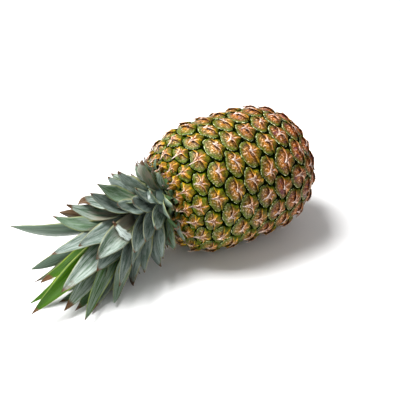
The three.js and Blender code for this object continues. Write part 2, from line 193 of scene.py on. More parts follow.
@dataclass
class Barrel:
    """The fruit's barrel, turned about X, with the spiral that its eyes follow. Sizes are in millimetres."""

    radius: float = 60
    length: float = 157
    length_power: float = 3.8
    radius_power: float = 2.06
    axis_height: float = 60.4
    spiral_turn: float = math.radians(99.789)
    neighbour_u: int = 11
    neighbour_v: int = 18
    row_pitch: float = 19.1
    crown_pitch_power: float = 1.3
    stalk_pitch_power: float = 0.85
    first_eye_x: float = -56.4
    first_eye_angle: float = math.radians(50.8)
    rest_eye: int = 59
    crown_edge_radius: float = 31
    stalk_edge_radius: float = 20
    stray: float = 3.0
    stray_size: float = 21
    fine_stray: float = 1.0
    fine_stray_size: float = 6
    stray_seed: float = 40
    scale_bend: float = 0.11
    narrowest: float = 0.05
    rows_searched: int = 20
    walk_steps: int = 2000

    def __post_init__(self) -> None:
        """Walks the outline from end to end and counts the rows on the way."""
        angle = np.linspace(-np.pi / 2, np.pi / 2, self.walk_steps + 1)
        self.x = np.sign(angle) * np.abs(np.sin(angle)) ** (2 / self.length_power) * self.length / 2
        share = np.minimum(1, np.abs(self.x) / (self.length / 2))
        self.r = self.radius * (1 - share**self.length_power) ** (1 / self.radius_power)
        step = np.hypot(np.diff(self.x), np.diff(self.r))
        width = np.maximum((self.r[1:] + self.r[:-1]) / 2 / self.radius, self.narrowest)
        power = np.where(self.x[1:] < 0, self.crown_pitch_power, self.stalk_pitch_power)
        self.row = np.concatenate([[0], np.cumsum(step / (self.row_pitch * width**power))])
        self.row -= self.row[np.argmax(self.x >= self.first_eye_x)]
        way = unit(np.stack([np.gradient(self.x), np.gradient(self.r)], axis=-1))
        self.out_x, self.out_r = -way[:, 1], way[:, 0]
        self.shift = np.zeros(3)
        rest = self.point(self.rest_eye / self.neighbour_v, self.eye_angle(self.rest_eye), 0)
        self.shift = np.array([-rest[0], -rest[1], 0])
        self.middle = np.array([0, 0, self.axis_height]) + self.shift

    def steps(self, row: Points, angle: Points) -> tuple[Points, Points]:
        """The steps to the neighbours u and v that lead to a row and angle from an eye's middle."""
        row_u = self.neighbour_u / self.neighbour_v
        turn_v = self.turn_of(self.neighbour_v)
        u = (angle - turn_v * row) / (self.turn_of(self.neighbour_u) - turn_v * row_u)
        return u, row - u * row_u

    def bent(self, row: Points, angle: Points) -> tuple[Points, Points]:
        """Rows and angles moved so that cells meet in arcs that bulge towards the crown, like scales."""
        u, v = self.steps(row, angle - self.first_eye_angle)
        wave_u, wave_v, wave_w = (np.cos(2 * math.pi * value) for value in (u, v, u + v))
        at_u = self.scale_bend * ((1 - wave_u + wave_v - wave_w) / 4) ** 2
        at_v = self.scale_bend * ((1 + wave_u - wave_v - wave_w) / 4) ** 2
        at_w = self.scale_bend * ((1 - wave_u - wave_v + wave_w) / 4) ** 2
        row_u, turn_u = self.neighbour_u / self.neighbour_v, self.turn_of(self.neighbour_u)
        turn_v = self.turn_of(self.neighbour_v)
        row = row - at_u * row_u - at_v - at_w * (1 - row_u)
        return row, angle - at_u * turn_u - at_v * turn_v - at_w * (turn_v - turn_u)

    def strayed(self, row: Points, angle: Points) -> tuple[Points, Points]:
        """Rows and angles moved a little, alike at the same place, so that cells differ."""
        x, radius = self.outline(row)
        places = np.stack([x, radius * np.cos(angle), radius * np.sin(angle)], axis=-1)
        row, angle = self.bent(row, angle)
        for reach, size in ((self.stray, self.stray_size), (self.fine_stray, self.fine_stray_size)):
            row = row + reach * waves(places, size) / self.row_pitch
            angle = angle + reach * waves(places, size, self.stray_seed) / np.maximum(radius, 1)
        return row, angle

    def eye_angle(self, number: int) -> float:
        """How far round the fruit an eye lies, from straight up towards -Y."""
        return self.first_eye_angle + number * self.spiral_turn

    def turn_of(self, eyes: int) -> float:
        """The angle that a number of eyes along the spiral turns, within half a turn of zero."""
        return math.remainder(eyes * self.spiral_turn, 2 * math.pi)

    def outline(self, row: Points | float) -> tuple[Points, Points]:
        """The x and the radius of the bare barrel at a row."""
        return np.interp(row, self.row, self.x), np.interp(row, self.row, self.r)

    def point(self, row: Points, angle: Points, height: Points) -> Points:
        """Points on or above the barrel.

        Args:
            row: How many rows along it.
            angle: How far round it.
            height: Millimetres above the bare barrel.

        Returns:
            Their places in the row frame.
        """
        x, radius = self.outline(row)
        reach = np.maximum(0, radius + height * np.interp(row, self.row, self.out_r))
        place_x = x + height * np.interp(row, self.row, self.out_x)
        y = -reach * np.sin(angle)
        z = self.axis_height + reach * np.cos(angle)
        return np.stack(np.broadcast_arrays(place_x, y, z), axis=-1) + self.shift

    def cell(self, a: Points, b: Points) -> tuple[Points, Points]:
        """The row and angle, from an eye's middle, of places in its six-sided cell.

        Args:
            a: The first coordinate in a regular six-sided cell with a corner at (1, 0).
            b: The second coordinate.

        Returns:
            The steps in row and in angle.
        """
        u = a / 3 - b / math.sqrt(3)
        v = a / 3 + b / math.sqrt(3)
        row = u * self.neighbour_u / self.neighbour_v + v
        angle = u * self.turn_of(self.neighbour_u) + v * self.turn_of(self.neighbour_v)
        return row, angle

    def eyes(self) -> list[int]:
        """The numbers of the eyes between the crown's edge and the stalk's."""
        reach = self.rows_searched * self.neighbour_v
        found = []
        for number in range(-reach, reach):
            x, radius = self.outline(number / self.neighbour_v)
            if radius > (self.crown_edge_radius if x < 0 else self.stalk_edge_radius):
                found.append(number)
        return found


@dataclass
class EyeLook:
    """How one eye differs from the next: drawn once for each eye and shared by its skin and its bract."""

    row: float
    angle: float
    crownward: float
    ripe: float
    bulge: float
    tip_length: float
    tip_lift: float
    tip_turn: float
    star_turn: float
    chance: float

    def tone(self) -> tuple[float, float, float]:
        """What the finishes read of it."""
        return self.ripe, self.chance, self.crownward


@dataclass(frozen=True)
class EyeVariety:
    """How much the eyes differ. Sizes are in millimetres, and pairs are the ends of even draws."""

    crownward: tuple[float, float] = (44, 70)
    ripe_from: float = -45
    ripe_over: float = 105
    ripe_spread: float = 0.12
    bulge: tuple[float, float] = (0.75, 1.25)
    tip_length: tuple[float, float] = (2.2, 6.5)
    crown_tip_length: float = 6
    long_tip: float = 2.5
    long_tip_share: float = 0.25
    tip_lift: tuple[float, float] = (0.2, 1.8)
    crown_tip_lift: float = 2.2
    high_tip: float = 1.6
    high_tip_share: float = 0.35
    tip_turn: tuple[float, float] = (-3, 3)
    star_turn: tuple[float, float] = (-0.45, 0.45)

    def looks(self, barrel: Barrel, seed: int) -> list[EyeLook]:
        """Draws the looks of every eye.

        Args:
            barrel: The fruit's barrel.
            seed: Fixes the draw.

        Returns:
            One look for each eye.
        """
        draw = np.random.default_rng(seed)
        looks = []
        for number in barrel.eyes():
            row = number / barrel.neighbour_v
            x = barrel.outline(row)[0]
            crownward = float(smooth(-x, *self.crownward))
            ripe = (x - self.ripe_from) / self.ripe_over + draw.normal(0, self.ripe_spread)
            bulge = draw.uniform(*self.bulge)
            tip_length = draw.uniform(*self.tip_length) + self.crown_tip_length * crownward
            tip_length += self.long_tip if draw.random() < self.long_tip_share else 0
            tip_lift = draw.uniform(*self.tip_lift) + self.crown_tip_lift * crownward
            tip_lift += self.high_tip if draw.random() < self.high_tip_share else 0
            looks.append(
                EyeLook(
                    row=row,
                    angle=barrel.eye_angle(number),
                    crownward=crownward,
                    ripe=float(np.clip(ripe, 0, 1)),
                    bulge=bulge,
                    tip_length=tip_length,
                    tip_lift=tip_lift,
                    tip_turn=draw.uniform(*self.tip_turn),
                    star_turn=draw.uniform(*self.star_turn),
                    chance=draw.random(),
                )
            )
        return looks


@dataclass
class EyeSurface:
    """The relief of one eye, in millimetres above the barrel."""

    groove: float = 1.9
    groove_share: float = 0.11
    rim: float = 0.95
    dome: float = 1.0
    moat: float = 0.55
    moat_place: float = 0.6
    moat_width: float = 0.1
    tilt: float = 0.9
    lobe: float = 0.28
    side_groove: float = 0.7

    def depth(self, u: Points) -> Points:
        """The groove's depth, less on an eye's slanting sides. u counts steps to the eye above."""
        return self.groove * (self.side_groove + (1 - self.side_groove) * (1 + np.cos(2 * math.pi * u)) / 2)

    def height(self, s: Points, t: Points, e: Points, bulge: float, groove: Points | float) -> Points:
        """The skin's height.

        Args:
            s: From the eye's middle towards the stalk, about -1 to 1.
            t: Round the fruit, -1 to 1.
            e: 0 in the eye's middle and 1 in the groove.
            bulge: How full this eye is.
            groove: The depth of the groove nearest to each place.

        Returns:
            Heights above the barrel.
        """
        inner = smooth(1 - e, 0, self.groove_share)
        dome = self.dome * bulge * np.clip(1 - (e / 0.9) ** 2, 0, 1)
        crownside = smooth(-s, -0.25, 0.25)
        moat = self.moat * np.exp(-(((e - self.moat_place) / self.moat_width) ** 2)) * crownside
        around = np.arctan2(t, s)
        lobe = self.lobe * np.cos(3 * around) * smooth(e, 0.35, 0.7) * (1 - smooth(e, 0.85, 1))
        raised = self.rim * (0.7 + 0.3 * bulge) + dome - moat + lobe + self.tilt * 0.5 * s
        return -groove + (groove + raised) * inner


@dataclass
class BractSurface:
    """The dry bract that covers the stalk side of an eye, in millimetres in the eye's own cell."""

    thickness: float = 0.5
    base_reach: float = 9.7
    base_width: float = 5.6
    side_width: float = 12.4
    side_reach: float = 0.8
    side_skew: float = 1.3
    middle_reach: float = -0.8
    edge_power: float = 1.4
    tip_power: float = 11
    sunk: float = 0.7
    lift: float = 0.3
    edge_lift: float = 1.0
    roll: float = 0.35
    rays: int = 5
    ray_rise: float = 0.55
    # Width in millimetres of the shadow painted on the skin under the free edge
    shade_width: float = 1.0

    def free_edge(self, p: Points, tip_length: float) -> Points:
        """How far towards the stalk the bract's free edge lies, at a place across it."""
        narrow = 1 - np.abs(p)
        side = self.side_reach - self.side_skew * p
        dip = (self.middle_reach - side) * narrow**self.edge_power
        return side + dip - tip_length * narrow**self.tip_power

    def place(self, p: Points, q: Points, look: EyeLook) -> tuple[Points, Points, Points]:
        """Where a bract's points lie in the cell.

        Args:
            p: Across the bract, -1 to 1.
            q: 0 at its base, on the stalk side, and 1 along its free edge.
            look: This eye's look.

        Returns:
            Millimetres towards the stalk, round the fruit, and above the skin.
        """
        narrow = 1 - np.abs(p)
        tip = narrow**self.tip_power
        base = self.base_reach * (1 - 0.18 * p * p)
        x = base + (self.free_edge(p, look.tip_length) - base) * q
        width = self.base_width + (self.side_width - self.base_width) * q**0.7
        y = -p * width + look.tip_turn * tip * q**3
        rise = smooth(q, 0, 0.18) * (self.sunk + self.lift) - self.sunk
        rise = rise + self.edge_lift * q**2 * narrow**0.6
        rise = rise + look.tip_lift * tip * q**4 + self.roll * smooth(q, 0.8, 1) * (1 - tip)
        ray = np.arctan2(y, x - self.middle_reach) + look.star_turn
        rise = rise + self.ray_rise * (0.5 + 0.5 * np.cos(self.rays * ray)) * smooth(q, 0.1, 0.5)
        return x, y, rise - self.sunk * smooth(np.abs(p), 0.85, 1)

    def shadow_under_edge(self, x: Points, y: Points) -> Points:
        """How much shadow is painted on the skin under the bract's free edge, 0 to 1, at places in the cell
        in millimetres.
        """
        p = np.clip(-y / self.side_width, -1, 1)
        beyond = self.free_edge(p, 0) - x
        fading = 0.95 * (1 - smooth(np.abs(p), 0.6, 0.95))
        return np.exp(-(((beyond - 0.5) / self.shade_width) ** 2)) * fading


@dataclass
class CollarRing:
    """One ring of long bracts round the crown's foot. Sizes are in millimetres."""

    radius: float
    x: float
    count: int
    length: float
    width: float
    lean: float
    curl: float = 0.55
    stagger: float = 0

    def blade(self, p: Points, q: Points, w: Points, angle: float, draw: np.random.Generator) -> Points:
        """One bract, as points round the fruit's axis.

        Args:
            p: Across it, -1 to 1.
            q: Along it, 0 to 1.
            w: Through it, -1 to 1.
            angle: How far round the fruit, from straight up towards -Y.
            draw: Draws how it differs from the others.

        Returns:
            Its points, with the fruit's axis along X through zero.
        """
        length = self.length * draw.uniform(0.75, 1.25)
        lean = self.lean + draw.uniform(-0.25, 0.25)
        bend = lean + (self.curl + draw.uniform(-0.35, 0.35)) * q
        forward = length * q * np.cos(bend)
        out = length * q * np.sin(bend)
        half = self.width / 2 * draw.uniform(0.8, 1.2) * (1 - q**1.3) * (1 - 0.25 * q) + 0.15
        side = p * half + draw.uniform(-2.5, 2.5) * q**2
        fold = 0.35 * half * np.abs(p) ** 1.5 + 0.5 * np.sin(q * 9 + draw.uniform(0, 6)) * np.abs(p)
        radius = self.radius + out - fold + w * 0.25
        x = self.x - forward
        turned = angle + side / self.radius
        return np.stack([x, -radius * np.sin(turned), radius * np.cos(turned)], axis=-1)


@dataclass
class Fruit:
    """The fruit: its skin of eyes, and the bracts that stand on it."""

    barrel: Barrel = field(default_factory=Barrel)
    surface: EyeSurface = field(default_factory=EyeSurface)
    bract: BractSurface = field(default_factory=BractSurface)
    collar: tuple[CollarRing, ...] = (
        CollarRing(radius=35, x=-68, count=19, length=11, width=11, lean=-0.5),
        CollarRing(radius=29, x=-72, count=17, length=9, width=10, lean=-0.3, stagger=0.5),
    )
    foot_leaves: tuple[CollarRing, ...] = (
        CollarRing(radius=27, x=-74, count=23, length=14, width=8, lean=0.55, curl=0.6),
        CollarRing(radius=23, x=-76, count=19, length=19, width=10, lean=0.7, curl=0.5, stagger=0.5),
        CollarRing(radius=20, x=-78, count=15, length=22, width=12, lean=0.7, curl=0.6),
    )
    eye_half_length: float = 10
    eye_half_width: float = 13
    cell_cuts: int = 9
    corner_width: float = 0.08
    ring_power: float = 1.35
    unevenness: float = 0.5
    wave_size: float = 5
    pole_x: float = 76.5
    pressed: float = 0.02
    merge_distance: float = 0.02
    fullest_share: float = 0.84
    bract_cells: tuple[int, int] = (16, 10)
    ring_cells: tuple[int, int] = (10, 12)
    fewest_end_sides: int = 5
    seed: int = 11

    def __post_init__(self) -> None:
        """Draws the eyes' looks."""
        self.looks = EyeVariety().looks(self.barrel, self.seed)

    def local(self, row: Points, angle: Points) -> tuple[Points, Points]:
        """Steps in row and angle as shares of an eye's half length and half width."""
        x, y = row * self.barrel.row_pitch, angle * self.barrel.radius
        return x / self.eye_half_length, y / self.eye_half_width

    def eye_template(self) -> bpy.types.Object:
        """A flat six-sided cell, finely divided and finer towards its border."""
        bpy.ops.mesh.primitive_circle_add(
            vertices=6, radius=1, fill_type="TRIFAN", rotation=(0, 0, math.radians(30))
        )
        cell = bpy.context.active_object
        bpy.ops.object.transform_apply(rotation=True)
        with edit_mode("SELECT"):
            bpy.ops.mesh.subdivide(number_cuts=self.cell_cuts)
        return cell

    def border_share(self, a: Points, b: Points) -> Points:
        """0 in the middle of a regular six-sided cell and 1 all along its border."""
        sides = [math.radians(30 + 60 * k) for k in range(6)]
        reach = [np.maximum(0, a * math.cos(side) + b * math.sin(side)) for side in sides]
        return np.max(reach, axis=0) / math.cos(math.radians(30))

    def rounded(self, e: Points, a: Points, b: Points) -> Points:
        """The share to the border, larger in the corners, so that an eye is rounder than its cell."""
        around = np.cos(3 * np.arctan2(b, a)) ** 2
        return np.minimum(1, e * (1 + self.corner_width * around**3))

    def skin_height(
        self, row: Points, angle: Points, e: Points, look: EyeLook, groove: Points | float
    ) -> Points:
        """The skin's height at steps from an eye's middle."""
        s, t = self.local(row, angle)
        return self.surface.height(s, t, e, look.bulge, groove)

    def build_skin(self) -> bpy.types.Object:
        """Copies the eye to its places on the spiral and closes the ends."""
        cell = self.eye_template()
        flat = points_of(cell)
        even = self.border_share(flat[:, 0], flat[:, 1])
        e = 1 - (1 - np.clip(even, 0, 1)) ** self.ring_power
        wider = np.where(even > 1e-6, e / np.maximum(even, 1e-6), 1)
        row, angle = self.barrel.cell(flat[:, 0] * wider, flat[:, 1] * wider)
        e = self.rounded(e, flat[:, 0], flat[:, 1])
        border = flat[:, :2] / np.maximum(even, 1e-6)[:, None]
        groove = self.surface.depth(border[:, 0] / 3 - border[:, 1] / math.sqrt(3))
        s, t = self.local(row, angle)
        copies = []
        for look in self.looks:
            height = self.skin_height(row, angle, e, look, groove)
            bare = self.barrel.point(look.row + row, look.angle + angle, 0)
            height = height + self.unevenness * waves(bare, self.wave_size) * (1 - 0.4 * smooth(e, 0.85, 1))
            points = self.barrel.point(*self.barrel.strayed(look.row + row, look.angle + angle), height)
            points[:, 2] = np.maximum(points[:, 2], 0)
            # Shadow painted on the skin under the bract's free edge, which the rind's finish reads
            shadow_under_edge = self.bract.shadow_under_edge(s * self.eye_half_length, t * self.eye_half_width)
            notes = {"eye": np.stack([s, shadow_under_edge, e], axis=-1), "tone": look.tone()}
            copies.append(shaped_copy(cell, points, notes))
        skin = joined(copies, "fruit_skin", cell)
        self.close_skin(skin)
        return skin

    def close_skin(self, skin: bpy.types.Object) -> None:
        """Merges the eyes along their grooves and closes the two ends, each with a low cone."""
        select_only(skin)
        with edit_mode("SELECT"):
            bpy.ops.mesh.remove_doubles(threshold=self.merge_distance * MM)
            bpy.ops.mesh.select_all(action="DESELECT")
            bpy.ops.mesh.select_mode(type="EDGE")
            bpy.ops.mesh.select_non_manifold(extend=False)
            bpy.ops.mesh.fill_holes(sides=0)
        for side in (-1, 1):
            self.cone_end(skin, side)
        bpy.ops.object.shade_smooth()

    def cone_end(self, skin: bpy.types.Object, side: int) -> None:
        """Turns the large flat face at one end into a low cone with its point on the axis."""
        mesh = skin.data
        with edit_mode("DESELECT"):
            bpy.ops.mesh.select_mode(type="FACE")
        for face in mesh.polygons:
            face.select = len(face.vertices) >= self.fewest_end_sides and face.center.x * side > 0
        known = len(mesh.vertices)
        bpy.ops.object.mode_set(mode="EDIT")
        bpy.ops.mesh.poke()
        bpy.ops.object.mode_set(mode="OBJECT")
        pole = self.barrel.middle + [side * self.pole_x, 0, 0]
        for vertex in mesh.vertices[known:]:
            vertex.co = Vector(pole * MM)
            mesh.attributes["eye"].data[vertex.index].vector = (0, 0, 0)

    def build_bracts(self) -> bpy.types.Object:
        """Shapes a bract for every eye."""
        sheet = slab(*self.bract_cells)
        flat = points_of(sheet)
        p = np.sign(flat[:, 0]) * np.abs(flat[:, 0]) ** 1.35
        q = (flat[:, 1] + 1) / 2
        copies = []
        for look in self.looks:
            x, y, rise = self.bract.place(p, q, look)
            row = x / self.barrel.row_pitch
            angle = y / self.barrel.radius
            e = np.minimum(self.share_at(row, angle), self.fullest_share)
            height = self.skin_height(row, angle, e, look, self.surface.groove) + rise
            thickness = self.bract.thickness * (1 - 0.5 * q)
            height = height + flat[:, 2] * thickness / 2
            points = self.barrel.point(*self.barrel.strayed(look.row + row, look.angle + angle), height)
            points[:, 2] = np.maximum(points[:, 2], self.pressed * (2 + flat[:, 2]))
            tip = (1 - np.abs(p)) ** self.bract.tip_power * smooth(q, 0.45, 1)
            ray_x = x - self.bract.middle_reach
            cosine, sine = math.cos(look.star_turn), math.sin(look.star_turn)
            rays = np.stack([ray_x * cosine - y * sine, ray_x * sine + y * cosine, q], axis=-1)
            notes = {"bract": np.stack([p, q, tip], axis=-1), "rays": rays, "tone": look.tone()}
            copies.append(shaped_copy(sheet, points, notes))
        return joined(copies, "fruit_bracts", sheet)

    def build_rings(self, name: str, rings: tuple[CollarRing, ...]) -> bpy.types.Object:
        """Shapes rings of bracts or small leaves round the crown's foot, with notes for both finishes."""
        sheet = slab(*self.ring_cells)
        flat = points_of(sheet)
        p, q = flat[:, 0], (flat[:, 1] + 1) / 2
        draw = np.random.default_rng(self.seed + 1)
        copies = []
        for ring in rings:
            for k in range(ring.count):
                angle = 2 * math.pi * (k + ring.stagger) / ring.count + draw.uniform(-0.08, 0.08)
                points = ring.blade(p, q, flat[:, 2], angle, draw)
                points = points + self.barrel.middle
                points[:, 2] = np.maximum(points[:, 2], self.pressed * (2 + flat[:, 2]))
                tip = smooth(q, 0.55, 1.1) * (1 - 0.4 * np.abs(p))
                values = {
                    "bract": np.stack([p, q * 0.8, tip], axis=-1),
                    "rays": np.stack([12 * (1 - q), p * 6, q], axis=-1),
                    "tone": (draw.uniform(0, 0.6), draw.random(), draw.uniform(0.86, 1)),
                    "leaf": np.stack([p, q, flat[:, 2]], axis=-1),
                    "leaf_tone": (draw.uniform(0.6, 1), 0.15, draw.uniform(0.2, 1.2)),
                    "leaf_chance": (CHANCE_SPREAD * draw.random(), 0, 0),
                }
                copies.append(shaped_copy(sheet, points, values))
        return joined(copies, name, sheet)

    def share_at(self, row: Points, angle: Points) -> Points:
        """How near a place in a cell is to the border, from 0 in the middle to 1."""
        u, v = self.barrel.steps(row, angle)
        a = (u + v) * 3 / 2
        b = (v - u) * math.sqrt(3) / 2
        return self.border_share(a, b)

    def build(self) -> None:
        """Makes and dresses the fruit."""
        dress(self.build_skin(), EyeRind().material(), "fruit_rind", "fruit")
        dry = DryBract().material()
        dress(self.build_bracts(), dry, "fruit_rind")
        dress(self.build_rings("collar_bracts", self.collar), dry, "fruit_rind")


# The crown


class Tint(Enum):
    """How a leaf of the crown is coloured."""

    DUSTY = (0.05, 0.42, 0.3)
    PALE = (0.35, 0.6, 0.35)
    DARK = (0.3, 0.08, 0.25)
    GREEN = (0.55, 0.28, 0.3)
    BRIGHT = (1.0, 0.0, 0.25)
    BROWNED = (0.1, 0.4, 0.9)
    CURLED = (0.15, 0.6, 1.1)


@dataclass
class Stem:
    """The crown's stem, which leaves the fruit's end and bends down. Sizes are in millimetres."""

    shift: Points
    start: tuple[float, float, float] = (-74, 0, 59.4)
    length: float = 62
    droop: tuple[float, float] = (11, 32)
    swing: tuple[float, float] = (0, 12)
    radius: Table = ((0, 20), (0.45, 12.5), (0.85, 7), (1, 4))
    steps: int = 12
    sides: int = 32
    cuts: int = 3
    wave_size: float = 6

    def way(self, share: float) -> Points:
        """The stem's direction at a share of its length."""
        ends = []
        for droop, swing in zip(self.droop, self.swing):
            d, s = math.radians(droop), math.radians(swing)
            ends.append(np.array([-math.cos(d) * math.cos(s), -math.cos(d) * math.sin(s), -math.sin(d)]))
        share = min(1, max(0, share))
        return unit(ends[0] * (1 - share) + ends[1] * share)

    def point(self, distance: float) -> Points:
        """The point of the stem's middle line at a distance from its foot."""
        point = np.array(self.start, float) + self.shift
        for i in range(self.steps):
            middle = (i + 0.5) * distance / self.steps
            point = point + self.way(middle / self.length) * distance / self.steps
        return point

    def frame(self, way: Points) -> tuple[Points, Points]:
        """The upward and the sideways direction across the stem."""
        sideways = np.array([0, -1, 0.0])
        sideways = unit(sideways - way * sideways.dot(way))
        return unit(np.cross(way, sideways)), sideways

    def build(self, name: str, start: float, end: float, bulge: float) -> bpy.types.Object:
        """A stretch of the stem as a closed, slightly knobbly core between the leaf bases.

        Args:
            name: The object's name.
            start: Where it begins, from the stem's foot.
            end: Where it ends.
            bulge: How uneven it is.

        Returns:
            The core.
        """
        bpy.ops.mesh.primitive_cylinder_add(vertices=self.sides, radius=1, depth=2, end_fill_type="TRIFAN")
        core = bpy.context.active_object
        with edit_mode("SELECT"):
            bpy.ops.mesh.subdivide(number_cuts=self.cuts)
        core.name = name
        flat = points_of(core)
        points = []
        for x, y, z in flat:
            distance = start + (end - start) * (z + 1) / 2
            way = self.way(distance / self.length)
            upward, sideways = self.frame(way)
            radius = float(along(self.radius, distance / self.length))
            points.append(self.point(distance) + radius * (upward * x + sideways * y))
        points = np.array(points)
        outward = unit(points - self.point((start + end) / 2))
        points = points + bulge * waves(points, self.wave_size)[:, None] * outward
        core.data.vertices.foreach_set("co", (points * MM).ravel())
        bpy.ops.object.shade_smooth()
        return core


@dataclass
class Leaves:
    """The crown's leaves, from its foot to its heart, and how single ones differ from the rule."""

    stem: Stem
    count: int = 70
    heart_first: int = 60
    turn: float = math.radians(99.789)
    first_angle: float = math.radians(20)
    thickness: float = 1.0
    base: Table = ((0, -1), (1, 58))
    root: Table = ((0, 18), (0.5, 12), (1, 3.5))
    length: Table = ((0, 28), (0.3, 42), (0.6, 60), (0.8, 74), (1, 88))
    width: Table = ((0, 16), (0.3, 19), (0.7, 21), (1, 19))
    start_angle: Table = ((0, 56), (0.3, 44), (0.6, 30), (1, 8))
    end_angle: Table = ((0, 106), (0.3, 84), (0.6, 62), (1, 18))
    floor_clear: float = 0.4
    floor_ease: float = 14
    spine_steps: int = 40
    foot_count: int = 12
    foot_green: float = 0.5
    leaf_cells: tuple[int, int] = (8, 26)
    torn_cells: tuple[int, int] = (6, 20)
    seed: int = 5
    # Degrees of turn, times the length, degrees at the root and at the tip
    changes: dict[int, tuple[float, float, float, float]] = field(
        default_factory=lambda: {
            3: (0, 0.82, 0, 0), 5: (12, 1.05, -5, 0), 7: (0, 1.1, 0, 20), 8: (-30, 0.95, 0, -5),
            10: (0, 1.1, -10, -10), 12: (-12, 0.85, 0, 5), 14: (0, 0.88, -5, -5), 15: (-5, 1, -12, -10),
            18: (8, 0.9, 0, 8), 19: (0, 0.94, -8, -6), 21: (5, 0.8, 0, 5), 22: (-20, 1, -3, 5),
            23: (0, 0.97, 0, 6), 25: (0, 1.05, -5, -5), 26: (-18, 0.85, -8, -5), 28: (-5, 0.85, -5, -8),
            29: (-6, 0.93, 0, 5), 30: (0, 0.88, -14, -10), 32: (6, 1, -10, -8), 33: (0, 0.97, -4, -3),
            34: (0, 0.9, 0, 0), 36: (-10, 0.95, 5, 15), 37: (-15, 0.8, -15, -10), 39: (0, 1.03, -8, -10),
            40: (0, 1.3, -5, -5), 41: (0, 0.88, -5, -3), 43: (-5, 0.95, 0, 12), 44: (0, 1.02, -7, -4),
            46: (0, 0.74, 0, -8), 48: (0, 1.02, -9, -7), 50: (0, 0.92, -8, 28), 51: (-6, 0.8, -8, -5),
            53: (34, 1.38, 6, 20), 55: (0, 0.65, -14, -10), 57: (0, 1.1, -8, -7), 58: (-3, 1.1, 0, 0),
            61: (0, 1, -10, -7), 62: (0, 1.05, 0, 8), 65: (0, 1.2, 0, -5), 66: (0, 0.88, -6, -3),
            68: (0, 1.05, -6, -5), 69: (0, 0.88, 0, 0),
        }
    )
    # Degrees that a blade turns about its own length, reached at twist_share of it
    twists: dict[int, float] = field(
        default_factory=lambda: {
            3: -35, 7: -30, 10: -30, 12: 30, 14: -40, 19: 30, 21: -40, 23: 30, 25: 40, 28: -25,
            30: 35, 32: 40, 36: 35, 39: -40, 41: 35, 43: 40, 46: -25, 48: -40, 50: 45, 53: -30,
            57: -45, 61: 25, 66: -35, 68: 40,
        }
    )
    twist_share: float = 0.6
    # Degrees that a dry tip curls back, over the last quarter of its leaf
    curls: dict[int, float] = field(default_factory=lambda: {32: -80})
    # The share of a leaf's length, from its root, that is stained brown
    stains: dict[int, float] = field(default_factory=lambda: {7: 0.95, 25: 0.3, 40: 0.5, 43: 0.7, 58: 0.45})
    tints: dict[int, Tint] = field(
        default_factory=lambda: {
            3: Tint.GREEN, 7: Tint.BROWNED, 12: Tint.GREEN, 15: Tint.PALE, 25: Tint.GREEN,
            32: Tint.CURLED, 39: Tint.CURLED, 40: Tint.PALE, 43: Tint.PALE, 46: Tint.PALE, 48: Tint.GREEN,
            50: Tint.GREEN, 53: Tint.DARK, 55: Tint.PALE, 57: Tint.DARK, 58: Tint.PALE, 61: Tint.BRIGHT,
            62: Tint.GREEN, 65: Tint.BRIGHT, 66: Tint.DARK, 68: Tint.BRIGHT, 69: Tint.PALE,
        }
    )

    # The torn leaf's middle line in millimetres, with its width
    torn: tuple[tuple[float, float, float, float], ...] = (
        (-119, -23, 47, 4), (-123.5, -31, 54, 6.5), (-128.5, -27, 59.5, 7), (-133, -18, 68, 1.5),
    )
    torn_face: tuple[float, float, float] = (-0.34, -0.75, 0.57)

    def shape(self, share: Points) -> Points:
        """A blade's half width along its length, as a share of its widest half width."""
        swell = 0.8 + 0.2 * np.sin(np.pi * np.minimum(1, share * 1.3))
        return np.maximum(0.03, swell * (1 - share**4.6))

    def spine(self, number: int, steps: int) -> tuple[Points, Points, Points]:
        """A leaf's middle line.

        Args:
            number: Which leaf.
            steps: How many stretches it has.

        Returns:
            Its points, their directions, and the sideways direction of the leaf.
        """
        share = number / (self.count - 1)
        turned, longer, at_root, at_tip = self.changes.get(number, (0, 1, 0, 0))
        angle = self.first_angle + number * self.turn + math.radians(turned)
        axis = self.stem.way(share)
        upward, sideways = self.stem.frame(axis)
        outward = upward * math.cos(angle) + sideways * math.sin(angle)
        point = self.stem.point(float(along(self.base, share))) + outward * along(self.root, share)
        length = float(along(self.length, share)) * longer
        start = float(along(self.start_angle, share)) + at_root
        end = float(along(self.end_angle, share)) + at_tip

        def way_at(part: float) -> Points:
            """The blade's direction at a share of its length, levelled out near the surface below."""
            curl = self.curls.get(number, 0) * float(smooth(part, 0.74, 1.05))
            bend = math.radians(start + (end - start) * part**0.9 + curl)
            way = axis * math.cos(bend) + outward * math.sin(bend)
            room = (point[2] - self.floor_clear - self.thickness) / self.floor_ease
            if way[2] < 0:
                way[2] *= min(1, max(0, room))
            return unit(way)

        points, ways = [], []
        for i in range(steps + 1):
            points.append(point)
            ways.append(way_at(i / steps))
            point = point + way_at(min(1, (i + 0.5) / steps)) * length / steps
        return np.array(points), np.array(ways), unit(np.cross(axis, outward))

